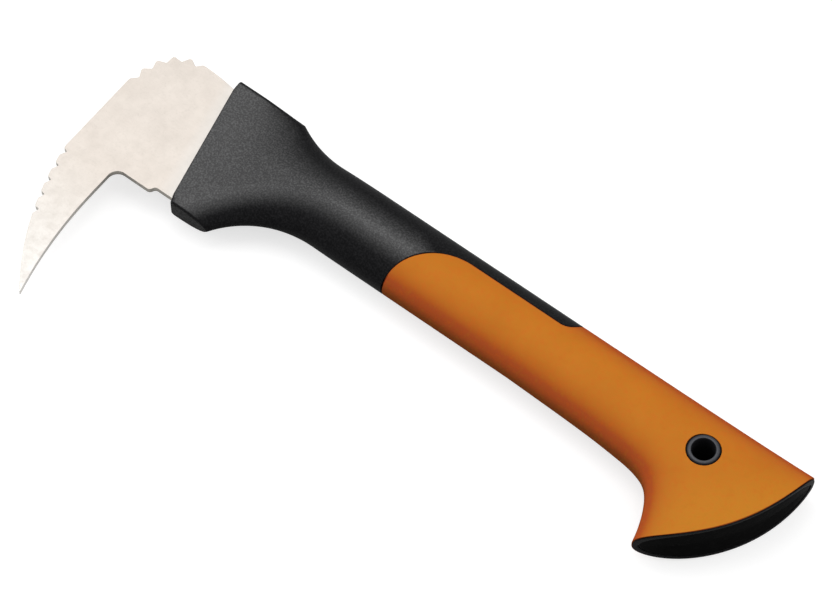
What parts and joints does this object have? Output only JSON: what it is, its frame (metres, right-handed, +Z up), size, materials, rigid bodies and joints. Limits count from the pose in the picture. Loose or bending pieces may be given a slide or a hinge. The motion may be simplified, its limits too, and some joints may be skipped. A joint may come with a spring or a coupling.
{
  "type": "pickaroon",
  "caption": "Short hand pickaroon: flat steel head with a curved pick and bark teeth, held in a moulded collar on a soft-gripped handle with a flared butt.",
  "frame": {"origin": "under the middle of the whole tool, on the surface that it lies on", "axes": "+X from the head's striking edge to the butt, +Y from the pick's point to the handle's spine, +Z up through the thickness"},
  "size_m": [0.3848, 0.153, 0.0284],
  "materials": {
    "steel": "pale satin steel, faintly mottled",
    "core": "dark grey fibre-filled nylon with a fine spark texture",
    "grip": "orange soft grip, matte",
    "plug": "black, glossy",
    "bush": "black, half gloss"
  },
  "bodies": {
    "root": {"pick_head": "steel", "handle_core": "core", "grip_sleeve": "grip", "butt_plug": "plug", "hang_hole_bush": "bush"}
  },
  "joints": []
}
